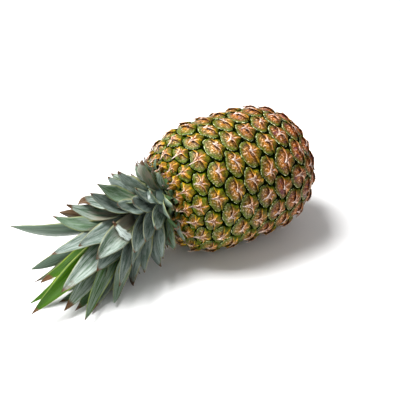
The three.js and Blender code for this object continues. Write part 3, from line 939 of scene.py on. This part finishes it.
    def blade(self, number: int, flat: Points, draw: np.random.Generator) -> tuple[Points, Points]:
        """The shape of one leaf.

        Args:
            number: Which leaf.
            flat: The sheet's points: x across, y along and z through it.
            draw: Draws its small unevenness.

        Returns:
            Its points in millimetres, and three values for each: across, along, and which face.
        """
        middle, ways, side = self.spine(number, self.spine_steps)
        part = (flat[:, 1] + 1) / 2
        steps = np.arange(self.spine_steps + 1)
        centre = on_line(part * self.spine_steps, steps, middle)
        way = unit(on_line(part * self.spine_steps, steps, ways))
        across = unit(side - way * (way @ side)[:, None])
        inward = np.cross(across, way)
        turned = math.radians(self.twists.get(number, 0)) * np.minimum(1, part / self.twist_share)[:, None]
        across = across * np.cos(turned) + inward * np.sin(turned)
        inward = np.cross(across, way)
        half = float(along(self.width, number / (self.count - 1))) / 2 * self.shape(part)
        x = flat[:, 0]
        channel = half * (0.5 - 0.2 * part)
        twist = draw.uniform(-0.16, 0.16) * part
        ripple = draw.uniform(0.25, 0.7) * np.sin(part * draw.uniform(9, 14) + x * 2.2 + draw.uniform(0, 6))
        lift = channel * np.abs(x) ** 1.5 + twist * x * half + ripple * part * np.abs(x) ** 2
        thick = self.thickness * (1 - 0.55 * np.abs(x) ** 3) * (1 - 0.4 * part)
        points = centre + across * (x * half)[:, None] + inward * (lift + flat[:, 2] * thick / 2)[:, None]
        above = np.where(flat[:, 2] * inward[:, 2] > 0, thick, 0)
        points[:, 2] = np.maximum(points[:, 2], self.floor_clear + above)
        return points, np.stack([x, part, flat[:, 2]], axis=-1)

    def build_torn(self) -> bpy.types.Object:
        """Shapes the torn, papery end of a leaf that lies folded on the crown."""
        sheet = slab(*self.torn_cells)
        flat = points_of(sheet)
        place = np.linspace(0, 1, len(self.torn))
        line = np.array([row[:3] for row in self.torn]) + self.stem.shift
        widths = [row[3] for row in self.torn]
        part = (flat[:, 1] + 1) / 2
        centre, ahead, behind = (on_line(part + step, place, line) for step in (0, 0.02, -0.02))
        across = unit(np.cross(ahead - behind, self.torn_face))
        lift = np.array(self.torn_face) * (1.2 * np.abs(flat[:, 0]) ** 2 + 0.2 * flat[:, 2])[:, None]
        half = np.interp(part, place, widths) / 2 * (1 + 0.15 * np.sin(part * 31))
        points = centre + across * (flat[:, 0] * half)[:, None] + lift
        notes = {
            "leaf": np.stack([flat[:, 0], part, flat[:, 2]], axis=-1),
            "leaf_tone": (0.1, 2.2, 0.4),
            "leaf_chance": (3, 3, 0),
        }
        return joined([shaped_copy(sheet, points, notes)], "torn_leaf", sheet)

    def build(self, name: str, first: int, last: int) -> bpy.types.Object:
        """Shapes the leaves from first up to last and joins them in one piece."""
        sheet = slab(*self.leaf_cells)
        flat = points_of(sheet)
        flat[:, 1] = 2 * ((flat[:, 1] + 1) / 2) ** 0.85 - 1
        copies = []
        for number in range(first, last):
            draw = np.random.default_rng(self.seed * 1000 + number)
            points, leaf = self.blade(number, flat, draw)
            tint = self.tints.get(number, Tint.DUSTY)
            greenness, bloom, dryness = tint.value
            if number < self.foot_count:
                greenness = max(greenness, self.foot_green)
            tone = (greenness, bloom, dryness * draw.uniform(0.7, 1.5))
            chance = CHANCE_SPREAD * draw.random()
            chances = (chance, chance, self.stains.get(number, 0))
            notes = {"leaf": leaf, "leaf_tone": tone, "leaf_chance": chances}
            copies.append(shaped_copy(sheet, points, notes))
        return joined(copies, name, sheet)


@dataclass
class Crown:
    """The crown: its outer leaves on the stem, and the young leaves at its heart."""

    fruit: Fruit
    stem: Stem
    crown_stem: tuple[float, float] = (-5, 48)
    heart_stem: tuple[float, float] = (48.5, 62)

    def build(self) -> None:
        """Makes and dresses the crown and its heart."""
        leaves = Leaves(self.stem)
        outer = leaves.build("crown_leaves", 0, leaves.heart_first)
        foot = self.fruit.build_rings("foot_leaves", self.fruit.foot_leaves)
        core = self.stem.build("crown_stem", *self.crown_stem, 0.8)
        young = leaves.build("heart_leaves", leaves.heart_first, leaves.count)
        tip = self.stem.build("heart_stem", *self.heart_stem, 0.3)
        finish = LeafBlade().material()
        dress(outer, finish, "crown_leaf", "crown")
        dress(foot, finish, "crown_leaf")
        dress(leaves.build_torn(), finish, "crown_leaf")
        dress(core, finish, "crown_leaf")
        dress(young, YoungBlade().material(), "heart_leaf", "crown_heart")
        dress(tip, finish, "heart_leaf")


# The stalk


@dataclass
class Stalk:
    """The cut, dried stalk, set into the fruit's end. Sizes are in millimetres."""

    barrel: Barrel
    radius: float = 13.5
    stub: float = 9
    sunk: float = 5
    sides: int = 48
    insets: tuple[float, ...] = (0.8, 1.2, 2.5, 3.5)
    cuts: int = 2
    waist: float = 0.1
    waist_length: float = 2.5
    rounding: float = 0.06
    rounding_length: float = 2
    shrink: float = 0.97
    roughness: float = 0.5
    wave_size: float = 2.5
    smooth_below: float = math.radians(40)

    def build(self) -> None:
        """Makes and dresses the stub."""
        end = self.barrel.length / 2
        depth = self.stub + self.sunk
        bpy.ops.mesh.primitive_cylinder_add(vertices=self.sides, radius=self.radius, depth=depth)
        stub = bpy.context.active_object
        stub.name = "stalk_stub"
        with edit_mode("DESELECT"):
            bpy.ops.mesh.select_mode(type="FACE")
        for face in stub.data.polygons:
            face.select = face.normal.z > 0.9
        bpy.ops.object.mode_set(mode="EDIT")
        for inset in self.insets:
            bpy.ops.mesh.inset(thickness=inset, depth=0)
        bpy.ops.mesh.poke()
        bpy.ops.mesh.select_all(action="SELECT")
        bpy.ops.mesh.subdivide(number_cuts=self.cuts)
        bpy.ops.object.mode_set(mode="OBJECT")
        flat = points_of(stub)
        reach = np.hypot(flat[:, 0], flat[:, 1])
        around = np.arctan2(flat[:, 1], flat[:, 0])
        x = end - self.sunk + flat[:, 2] + (self.stub + self.sunk) / 2
        ribs = 1 + 0.03 * np.sin(around * 9) + 0.02 * np.sin(around * 23 + 1)
        top = end + self.stub
        narrow = 1 - self.waist * np.exp(-(((x - end) / self.waist_length) ** 2))
        narrow = narrow - self.rounding * smooth(x, top - self.rounding_length, top)
        reach = reach * ribs * narrow * self.shrink
        x = x + self.roughness * waves(flat, self.wave_size) * (flat[:, 2] > self.stub / 2)
        points = np.stack([x, -reach * np.sin(around), reach * np.cos(around)], axis=-1)
        stub.data.vertices.foreach_set("co", ((points + self.barrel.middle) * MM).ravel())
        bpy.ops.object.mode_set(mode="EDIT")
        bpy.ops.mesh.normals_make_consistent(inside=False)
        bpy.ops.object.mode_set(mode="OBJECT")
        bpy.ops.object.shade_smooth_by_angle(angle=self.smooth_below)
        dress(stub, CutStalk().material(), "stalk_cut", "stalk")


# Finishes


def linear(hex_colour: str) -> tuple[float, float, float, float]:
    """Turns an sRGB hex colour to linear red, green, blue and alpha."""
    values = [int(hex_colour[i : i + 2], 16) / 255 for i in (1, 3, 5)]
    parts = [v / 12.92 if v <= 0.04045 else ((v + 0.055) / 1.055) ** 2.4 for v in values]
    return (*parts, 1.0)


def fill(tree: bpy.types.NodeTree, node: bpy.types.Node, inputs: dict | tuple) -> None:
    """Sets or links a node's inputs.

    Args:
        tree: The tree that it is in.
        node: The node.
        inputs: Values, hex colours, sockets or nodes, by name or in order. A node gives its first output
            in use.
    """
    for key, value in (inputs if isinstance(inputs, dict) else dict(enumerate(inputs))).items():
        if isinstance(value, bpy.types.Node):
            value = next(output for output in value.outputs if output.enabled)
        if isinstance(value, bpy.types.NodeSocket):
            tree.links.new(value, node.inputs[key])
        else:
            node.inputs[key].default_value = linear(value) if isinstance(value, str) else value


def add_node(
    tree: bpy.types.NodeTree, kind: str, inputs: dict | tuple = (), stops: Stops = (), **settings: object
) -> bpy.types.Node:
    """Adds a node with its settings, inputs and links.

    Args:
        tree: The tree that it goes into.
        kind: The node's type, without "ShaderNode".
        inputs: What fill sets or links.
        stops: A colour ramp's places and hex colours.
        **settings: Other settings of the node.

    Returns:
        The node.
    """
    node = tree.nodes.new("ShaderNode" + kind)
    for name, value in settings.items():
        setattr(node, name, value)
    fill(tree, node, inputs)
    if stops:
        elements = node.color_ramp.elements
        while len(elements) < len(stops):
            elements.new(0.5)
        for element, (place, colour) in zip(elements, stops):
            element.position = place
            element.color = linear(colour)
    return node


def new_material(name: str) -> tuple[bpy.types.Material, bpy.types.Node, NodeMaker]:
    """A material with its Principled shader and the function that adds nodes to its tree."""
    material = bpy.data.materials.new(name)
    material.use_nodes = True
    tree = material.node_tree
    return material, tree.nodes["Principled BSDF"], partial(add_node, tree)


def painted(node: NodeMaker, colour: bpy.types.Node, *layers: tuple) -> bpy.types.Node:
    """Paints layers over a colour, one after the other.

    Args:
        node: Adds nodes to the material.
        colour: What lies below.
        *layers: A colour and the shares whose product says how much of it covers.

    Returns:
        The colour on top.
    """
    for tint, *shares in layers:
        share = reduce(lambda product, other: node("Math", (product, other), operation="MULTIPLY"), shares)
        colour = node("Mix", {0: share, 6: colour, 7: tint}, data_type="RGBA")
    return colour


@dataclass(frozen=True)
class EyeRind:
    """Waxy pineapple rind: black-green grooves with painted shade, green round the eyes with a painted
    highlight, tan and orange in their middles, painted shadow under the bracts.
    """

    # Colours from an eye's middle, at 0, to its groove, at 1; the near-black stops past 0.9 are the groove's
    # dark green deepened by painted shade
    fresh: Stops = (
        (0.0, "#cc9450"), (0.3, "#b87c08"), (0.5, "#866c03"), (0.68, "#525403"),
        (0.84, "#5e6e06"), (0.9, "#263c03"), (0.935, "#0e1c01"), (1.0, "#040a00"),
    )
    ripe: Stops = (
        (0.0, "#cc9064"), (0.3, "#b86020"), (0.52, "#8e4e10"), (0.7, "#643e06"),
        (0.83, "#5c6006"), (0.9, "#243202"), (0.935, "#101a01"), (1.0, "#060800"),
    )
    # Painted highlight on the crown side of each eye's rim, broken up by the grain
    rim: str = "#dfe2b4"
    fleck: str = "#f0dcc8"
    pit: str = "#5c2c12"
    bruise: str = "#6a3440"
    # Colour of the shadow painted under each bract's free edge
    shadow_under_edge: str = "#300f04"
    # Sizes in millimetres
    mottle_size: float = 4
    grain_size: float = 1.5
    relief: float = 0.9
    # Where a pattern begins and ends in its noise, and what it gives there
    shaken: Span = (0, 1, -0.4, 0.4)
    spots: Span = (0.52, 0.62)
    flecks: Span = (0.55, 0.61)
    # Where the grain breaks up the painted rim highlight
    pits: Span = (0.46, 0.38)
    highlight_breaks: Span = (0.48, 0.62)
    shade: Span = (0.36, 0.64, 0.5, 1.45)
    gloss: Span = (0, 1, 0.12, 0.5)
    # The same on the way from an eye's middle, at 0, to the groove, at 1
    inner: Span = (1.0, 0.7)
    ring: Span = (0.9, 0.6)
    sheen: Span = (0.94, 0.82, 0, 0.22)
    domes: Span = (0.85, 0.2, 0, 0.8)
    # Where the painted highlight on the rim lies, and how wide it is
    highlight_place: float = 0.885
    highlight_width: float = 0.018
    # The same from the crown side, below 0, to the stalk side
    stalkside: Span = (-0.1, 0.6, 0, 0.09)
    crownside: Span = (0.1, -0.3)

    def material(self) -> bpy.types.Material:
        """Builds the material."""
        material, shader, node = new_material("rind_waxy")
        place = node("TexCoord").outputs["Object"]
        eye, tone = (
            node("SeparateXYZ", (node("Attribute", attribute_name=note).outputs["Vector"],)).outputs
            for note in ("eye", "tone")
        )
        mottle = node("TexNoise", {"Vector": place, "Scale": 1 / (self.mottle_size * MM), "Detail": 4.0})
        grain_scale = 1 / (self.grain_size * MM)
        grain = node("TexNoise", {"Vector": place, "Scale": grain_scale, "Detail": 5.0, "Roughness": 0.65})
        shaken, spots = (node("MapRange", (mottle, *span)) for span in (self.shaken, self.spots))
        flecks, pits, highlight_breaks, shade, gloss = (
            node("MapRange", (grain, *span))
            for span in (self.flecks, self.pits, self.highlight_breaks, self.shade, self.gloss)
        )
        inner, ring, sheen = (
            node("MapRange", (eye["Z"], *span)) for span in (self.inner, self.ring, self.sheen)
        )
        stalkside, crownside = (
            node("MapRange", (eye["X"], *span)) for span in (self.stalkside, self.crownside)
        )
        shift = node("Math", (shaken, inner), operation="MULTIPLY")
        depth = node("Math", (eye["Z"], stalkside), operation="SUBTRACT")
        depth = node("Math", (depth, shift), operation="ADD", use_clamp=True)
        domes = node("MapRange", (depth, *self.domes))
        rim_highlight = node("Math", (eye["Z"], self.highlight_place, self.highlight_width), operation="COMPARE")
        fresh, ripe = (node("ValToRGB", (depth,), stops=stops) for stops in (self.fresh, self.ripe))
        colour = painted(
            node, fresh, (ripe, tone["X"]), (self.fleck, flecks, domes), (self.pit, pits, domes),
            # Bruises, then the painted highlight on the crown side of the rim
            (self.bruise, spots, ring, tone["X"]), (self.rim, rim_highlight, crownside, highlight_breaks),
            # Painted shadow under the bracts' free edges
            (self.shadow_under_edge, eye["Y"]),
        )
        colour = node("HueSaturation", {"Value": shade, "Color": colour})
        bump = node("Bump", {"Height": grain, "Distance": self.relief * MM, "Strength": 0.8})
        looks = {"Base Color": colour, "Roughness": gloss, "Specular IOR Level": sheen, "Normal": bump}
        fill(material.node_tree, shader, looks)
        return material


@dataclass(frozen=True)
class DryBract:
    """Dry, papery bract: olive between orange ridges that meet at its pinkish white tip, with painted shade
    in the creases beside the ridges.
    """

    valley: Stops = (
        (0.0, "#964c14"), (0.2, "#a06406"), (0.4, "#826a03"), (0.65, "#585a03"), (1.0, "#4c5a04"),
    )
    ripe_valley: Stops = (
        (0.0, "#883a16"), (0.25, "#a4541c"), (0.5, "#844e0c"), (0.75, "#5e4a05"), (1.0, "#484803"),
    )
    ridge: Stops = (
        (0.0, "#fcf0e2"), (0.25, "#f2d2ae"), (0.45, "#dea244"), (0.7, "#cc9c08"), (1.0, "#6a6c04"),
    )
    ripe_ridge: Stops = (
        (0.0, "#fbeae0"), (0.25, "#eec6aa"), (0.5, "#d68e60"), (0.75, "#a86c24"), (1.0, "#585404"),
    )
    tip: str = "#f0dcd4"
    paper: str = "#cf9a7c"
    collar: str = "#a0600c"
    # Dark strands, and also painted shade in the creases beside the ridges
    dark: str = "#42170a"
    roughness: float = 0.45
    sheen: float = 0.12
    # Sizes in millimetres
    reach: float = 12
    mottle_size: float = 3
    speckle_size: float = 1.6
    grain_size: float = 0.9
    grain_relief: float = 0.4
    fold_relief: float = 1.0
    # How often strands repeat round the tip, along the ridges, and from one bract to the next
    strand_stretch: tuple[float, float, float] = (6.0, 1.8, 40.0)
    rays: float = 5
    # A ridge's cosine where painted shade lies in the creases beside it, and how wide that shade is
    ridge_shade_place: float = 0.4
    shade_width: float = 0.22
    # Where a pattern begins and ends, and what it gives there
    shaken: Span = (0, 1, -0.35, 0.35)
    crest: Span = (0.68, 0.98)
    edge: Span = (0.87, 0.97)
    streak: Span = (0.52, 0.62, 0, 0.8)
    near_tip: Span = (0.6, 0.25, 0, 0.75)
    at_collar: Span = (0.88, 1.0, 0, 0.45)
    varied: Span = (0, 1, -0.2, 0.9)
    papery: Span = (0.44, 0.34)
    inner: Span = (0.75, 0.1, 0, 0.8)
    at_tip: Span = (0.3, 0.8)
    shade: Span = (0.36, 0.64, 0.55, 1.4)

    def material(self) -> bpy.types.Material:
        """Builds the material."""
        material, shader, node = new_material("bract_dry")
        place = node("TexCoord").outputs["Object"]
        part, tone, rays = (
            node("SeparateXYZ", (node("Attribute", attribute_name=note).outputs["Vector"],)).outputs
            for note in ("bract", "tone", "rays")
        )
        mottle, speckle, grain = (
            node("TexNoise", {"Vector": place, "Scale": 1 / (size * MM), "Detail": detail})
            for size, detail in ((self.mottle_size, 4.0), (self.speckle_size, 4.0), (self.grain_size, 3.0))
        )
        square = node("Math", (rays["X"], rays["X"]), operation="MULTIPLY")
        square = node("Math", (rays["Y"], rays["Y"], square), operation="MULTIPLY_ADD")
        length = node("Math", (square, 0.5), operation="POWER")
        shaken = node("MapRange", (mottle, *self.shaken))
        reach = node("MapRange", (length, 0, self.reach))
        reach = node("Math", (reach, shaken), operation="ADD", use_clamp=True)
        angle = node("Math", (rays["Y"], rays["X"]), operation="ARCTAN2")
        strand_place = node("CombineXYZ", (angle, reach, tone["Y"]))
        strand_place = node("VectorMath", (strand_place, self.strand_stretch), operation="MULTIPLY")
        strand = node("TexNoise", {"Vector": strand_place, "Scale": 1.0, "Detail": 4.0})
        turned = node("Math", (angle, shaken), operation="ADD")
        turned = node("Math", (turned, self.rays), operation="MULTIPLY")
        wave = node("Math", (turned,), operation="COSINE")
        ridge_shade = node("Math", (wave, self.ridge_shade_place, self.shade_width), operation="COMPARE")
        crest, edge, streak, near_tip, at_collar, varied, papery, inner, at_tip, shade = (
            node("MapRange", (value, *span)) for value, span in (
                (wave, self.crest), (part["Y"], self.edge), (strand, self.streak), (reach, self.near_tip),
                (tone["Z"], self.at_collar), (tone["Y"], self.varied), (strand, self.papery),
                (reach, self.inner), (part["Z"], self.at_tip), (speckle, self.shade),
            )
        )
        crest = node("Math", (crest, edge), operation="MAXIMUM")
        varied = node("Math", (tone["X"], varied), operation="ADD", use_clamp=True)
        valley, ripe_valley, ridge, ripe_ridge = (
            node("ValToRGB", (reach,), stops=stops)
            for stops in (self.valley, self.ripe_valley, self.ridge, self.ripe_ridge)
        )
        valley = painted(
            # Dark strands, then painted shade in the creases beside the ridges near the tip
            node, valley, (ripe_valley, tone["X"]), (self.dark, streak), (self.dark, ridge_shade, near_tip),
            (self.collar, at_collar),
        )
        ridge = painted(node, ridge, (ripe_ridge, varied))
        colour = painted(node, valley, (ridge, crest), (self.paper, papery, inner), (self.tip, at_tip))
        colour = node("HueSaturation", {"Value": shade, "Color": colour})
        bump = node("Bump", {"Height": grain, "Distance": self.grain_relief * MM, "Strength": 0.6})
        folds = node(
            "Bump", {"Height": strand, "Distance": self.fold_relief * MM, "Strength": 0.8, "Normal": bump}
        )
        looks = {"Base Color": colour, "Roughness": self.roughness, "Specular IOR Level": self.sheen}
        fill(material.node_tree, shader, looks | {"Normal": folds})
        return material


@dataclass(frozen=True)
class LeafBlade:
    """Tough crown leaf: blue-green with a silvery bloom, yellow-green margins and a dry brown tip."""

    name: str = "leaf_tough"
    dark: str = "#17301c"
    mid: str = "#7e9188"
    green: str = "#4c7c18"
    green_dark: str = "#1d440e"
    bloom: str = "#cdd8d2"
    margin: str = "#9a9440"
    stain: str = "#7c6a56"
    dry: Stops = ((0.0, "#7a5a34"), (0.5, "#4c3018"), (1.0, "#c9a77c"))
    sheen: float = 0.42
    roughness: float = 0.34
    # Sizes in millimetres
    patch_size: float = 14
    relief: float = 0.8
    # How often fibres and dust repeat across and along a blade
    fibre_stretch: tuple[float, float, float] = (26.0, 2.2, 0.0)
    dust_stretch: tuple[float, float, float] = (4.0, 3.0, 0.0)
    dry_length: float = 0.24
    # Where a pattern begins and ends, and what it gives there
    streak: Span = (0.28, 0.76)
    dust: Span = (0.4, 0.62, 0, 1.2)
    blot: Span = (0.4, 0.55)
    at_margin: Span = (0.86, 0.98)
    stained: Span = (0.0, -0.25, 0, 0.8)
    ragged: Span = (0, 1, -0.2, 0.2)
    dried: Span = (0.98, 1.04)

    def material(self) -> bpy.types.Material:
        """Builds the material."""
        material, shader, node = new_material(self.name)
        place = node("TexCoord").outputs["Object"]
        notes = ("leaf", "leaf_tone", "leaf_chance")
        vectors = [node("Attribute", attribute_name=note).outputs["Vector"] for note in notes]
        leaf, tone, stain = (node("SeparateXYZ", (vector,)).outputs for vector in vectors)
        leaf_place, _, chance = vectors
        fibre_place, dust_place = (
            node("VectorMath", (leaf_place, stretch, chance), operation="MULTIPLY_ADD")
            for stretch in (self.fibre_stretch, self.dust_stretch)
        )
        fibre = node("TexNoise", {"Vector": fibre_place, "Scale": 1.0, "Detail": 3.0})
        dusty = node("TexNoise", {"Vector": dust_place, "Scale": 1.0, "Detail": 6.0, "Roughness": 0.7})
        patch = node("TexNoise", {"Vector": place, "Scale": 1 / (self.patch_size * MM), "Detail": 4.0})
        across = node("Math", (leaf["X"],), operation="ABSOLUTE")
        past_stain = node("Math", (leaf["Y"], stain["Z"]), operation="SUBTRACT")
        streak, dust, blot, at_margin, stained, ragged = (
            node("MapRange", (value, *span)) for value, span in (
                (fibre, self.streak), (dusty, self.dust), (dusty, self.blot), (across, self.at_margin),
                (past_stain, self.stained), (patch, self.ragged),
            )
        )
        dry_from = node("Math", (tone["Z"], self.dry_length), operation="MULTIPLY")
        reach = node("Math", (leaf["Y"], dry_from), operation="ADD")
        reach = node("Math", (reach, ragged), operation="ADD")
        dried = node("MapRange", (reach, *self.dried))
        dry = node("ValToRGB", (fibre,), stops=self.dry)
        body, lively = (
            node("Mix", {0: streak, 6: low, 7: high}, data_type="RGBA")
            for low, high in ((self.dark, self.mid), (self.green_dark, self.green))
        )
        colour = painted(
            node, body, (lively, tone["X"]), (self.bloom, dust, tone["Y"]), (self.margin, at_margin, patch),
            (self.stain, stained, blot), (dry, dried),
        )
        bump = node("Bump", {"Height": fibre, "Distance": self.relief * MM, "Strength": 0.5})
        looks = {"Base Color": colour, "Roughness": self.roughness, "Specular IOR Level": self.sheen}
        fill(material.node_tree, shader, looks | {"Normal": bump})
        return material


@dataclass(frozen=True)
class YoungBlade(LeafBlade):
    """Young crown leaf: bright green, with hardly any bloom."""

    name: str = "leaf_young"
    mid: str = "#50783c"
    green: str = "#477402"
    green_dark: str = "#102c01"
    margin: str = "#a9b64a"
    sheen: float = 0.15
    roughness: float = 0.4


@dataclass(frozen=True)
class CutStalk:
    """Dried, fibrous cut stalk: straw-coloured, with darker strands."""

    colours: Stops = ((0.3, "#5e4526"), (0.5, "#a98a58"), (0.7, "#d8c49a"))
    roughness: float = 0.85
    # Sizes in millimetres
    strand_size: float = 1.2
    relief: float = 0.6

    def material(self) -> bpy.types.Material:
        """Builds the material."""
        material, shader, node = new_material("stalk_fibrous")
        place = node("TexCoord").outputs["Object"]
        scale = 1 / (self.strand_size * MM)
        strand = node("TexNoise", {"Vector": place, "Scale": scale, "Detail": 4.0, "Roughness": 0.6})
        colour = node("ValToRGB", (strand,), stops=self.colours)
        bump = node("Bump", {"Height": strand, "Distance": self.relief * MM, "Strength": 0.7})
        fill(material.node_tree, shader, {"Base Color": colour, "Roughness": self.roughness, "Normal": bump})
        return material


# The studio


@dataclass
class Studio:
    """The pale floor, the soft light and the camera at the photograph's viewing angle."""

    barrel: Barrel
    distance: float = 713
    elevation: float = math.radians(30.9)
    turn: float = math.radians(34.8)
    image_size: int = 400
    pixels_per_mm: float = 1.041
    middle_x: float = 229.6
    middle_y: float = 177.5
    sensor: float = 36
    aim_steps: int = 20
    # Name, place and side in metres, and power in watts
    lights: tuple[tuple[str, tuple[float, float, float], float, float], ...] = (
        ("key", (-0.45, 0.3, 1.1), 0.65, 30),
        ("fill", (0.1, -1.1, 0.7), 0.7, 1.2),
    )
    light_aim: tuple[float, float, float] = (-0.03, 0, 0.05)
    floor_size: float = 12
    floor_drop: float = 0.0005
    floor_colour: str = "#fafafa"
    floor_roughness: float = 0.9
    world_strength: float = 0.36

    def camera(self) -> None:
        """Places the camera so that the fruit's middle shows at its pixel."""
        forward = np.array([
            math.cos(self.elevation) * math.sin(self.turn),
            math.cos(self.elevation) * math.cos(self.turn),
            -math.sin(self.elevation),
        ])
        focal_pixels = self.pixels_per_mm * self.distance
        right_by = (self.middle_x - self.image_size / 2) / focal_pixels
        up_by = -(self.middle_y - self.image_size / 2) / focal_pixels
        aim = forward
        for _ in range(self.aim_steps):
            right = unit(np.cross(aim, [0, 0, 1]))
            up = np.cross(right, aim)
            depth = forward.dot(aim)
            to_right, to_top = forward.dot(right) / depth - right_by, forward.dot(up) / depth - up_by
            aim = unit(aim + right * to_right + up * to_top)
        data = bpy.data.cameras.new("camera")
        data.sensor_width = self.sensor
        data.lens = focal_pixels / self.image_size * self.sensor
        data.clip_start = 0.01
        camera = bpy.data.objects.new("camera", data)
        camera.location = Vector((self.barrel.middle - forward * self.distance) * MM)
        camera.rotation_mode = "QUATERNION"
        camera.rotation_quaternion = Vector(aim).to_track_quat("-Z", "Y")
        bpy.context.collection.objects.link(camera)
        bpy.context.scene.camera = camera

    def softbox(self, name: str, place: tuple[float, float, float], size: float, power: float) -> None:
        """A square soft light that faces the fruit.

        Args:
            name: Its name.
            place: Where it hangs, in metres from the fruit.
            size: Its side in metres.
            power: Its power in watts.
        """
        data = bpy.data.lights.new(name, "AREA")
        data.size = size
        data.energy = power
        light = bpy.data.objects.new(name, data)
        light.location = Vector(place)
        light.rotation_mode = "QUATERNION"
        light.rotation_quaternion = (Vector(self.light_aim) - Vector(place)).to_track_quat("-Z", "Y")
        bpy.context.collection.objects.link(light)

    def build(self) -> None:
        """Sets up the whole studio."""
        self.camera()
        bpy.ops.mesh.primitive_plane_add(size=self.floor_size, location=(0, 0, -self.floor_drop))
        floor = bpy.context.active_object
        floor.name = "floor"
        material, shader, _ = new_material("floor_pale")
        looks = {"Base Color": self.floor_colour, "Roughness": self.floor_roughness}
        fill(material.node_tree, shader, looks)
        floor.data.materials.append(material)
        for light in self.lights:
            self.softbox(*light)
        world = bpy.data.worlds.new("studio")
        world.use_nodes = True
        background = world.node_tree.nodes["Background"]
        fill(world.node_tree, background, {"Color": (1, 1, 1, 1), "Strength": self.world_strength})
        bpy.context.scene.world = world
        bpy.context.scene.view_settings.view_transform = "Standard"


def main() -> None:
    """Builds the pineapple and the studio."""
    logging.basicConfig(level=logging.INFO, format="%(name)s %(message)s")
    bpy.ops.object.select_all(action="DESELECT")
    fruit = Fruit()
    fruit.build()
    Crown(fruit, Stem(fruit.barrel.shift)).build()
    Stalk(fruit.barrel).build()
    Studio(fruit.barrel).build()


if __name__ == "__main__":
    main()
